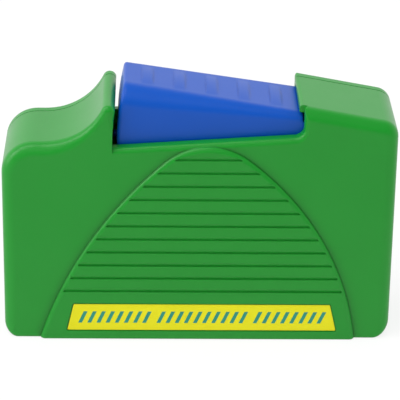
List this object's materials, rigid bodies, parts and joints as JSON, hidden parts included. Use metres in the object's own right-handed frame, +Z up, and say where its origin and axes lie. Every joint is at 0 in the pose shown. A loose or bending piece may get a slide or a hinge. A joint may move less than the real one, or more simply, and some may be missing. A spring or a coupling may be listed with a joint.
{
  "type": "fibre optic cleaning box",
  "caption": "Hand-held cassette cleaner for fibre connectors: green case with arch grips, blue press lever under a hood, wiping slots and a shutter in the underside, tape reels inside.",
  "frame": {"origin": "on the standing surface, under the middle of the case", "axes": "+X along the case towards the hood, +Y from the label side to the screw side, +Z up"},
  "size_m": [0.115, 0.0324, 0.0784],
  "materials": {
    "case_green": "satin",
    "lever_blue": "satin",
    "label_yellow": "satin",
    "white_plastic": "satin",
    "black_plastic": "satin",
    "tape_cloth": "matt",
    "pad_rubber": "matt",
    "steel": "satin"
  },
  "bodies": {
    "case": {"front_shell": "case_green", "rear_cover": "case_green", "front_label": "label_yellow", "pivot_pin": "steel", "return_spring": "steel", "takeup_spindle": "steel", "supply_spindle": "steel", "brake_spring": "steel", "cleaning_tape": "tape_cloth", "left_guide_pin": "steel", "right_guide_pin": "steel", "pad_holder": "white_plastic", "tape_pad": "pad_rubber", "slot_plate": "black_plastic", "case_screws": "steel"},
    "press_lever": {"lever": "lever_blue", "drive_sector": "white_plastic"},
    "drive_gear": {"drive_gear": "white_plastic", "clutch_spring": "steel"},
    "takeup_reel": {"takeup_reel": "white_plastic", "takeup_roll": "tape_cloth"},
    "supply_reel": {"supply_reel": "white_plastic", "supply_roll": "tape_cloth"},
    "shutter": {"shutter": "black_plastic"}
  },
  "joints": [
    {"name": "lever_press", "type": "hinge", "parent": "case", "child": "press_lever", "pos_m": [0.044, 0, 0.064], "axis": [0, -1, 0], "range_deg": [0, 10], "stiffness_Nm_per_rad": 0.6, "springref_deg": -8.59, "deforming": ["return_spring"]},
    {"name": "drive_gear_turn", "type": "hinge", "parent": "case", "child": "drive_gear", "pos_m": [0.03, 0, 0.02739], "axis": [0, -1, 0], "range_deg": [-39.1, 0]},
    {"name": "shutter_slide", "type": "slide", "parent": "case", "child": "shutter", "axis": [1, 0, 0], "range_m": [0, 0.00995]},
    {"name": "takeup_reel_turn", "type": "hinge", "parent": "case", "child": "takeup_reel", "pos_m": [0.03, 0, 0.02739], "axis": [0, -1, 0], "continuous": true},
    {"name": "supply_reel_turn", "type": "hinge", "parent": "case", "child": "supply_reel", "pos_m": [-0.028, 0, 0.02739], "axis": [0, -1, 0], "continuous": true}
  ],
  "couplings": [
    {"joint": "drive_gear_turn", "follows": "lever_press", "ratio": -3.9},
    {"joint": "shutter_slide", "follows": "lever_press", "m_per_rad": 0.05692},
    {"joint": "supply_reel_turn", "follows": "takeup_reel_turn", "ratio": 0.5806}
  ]
}
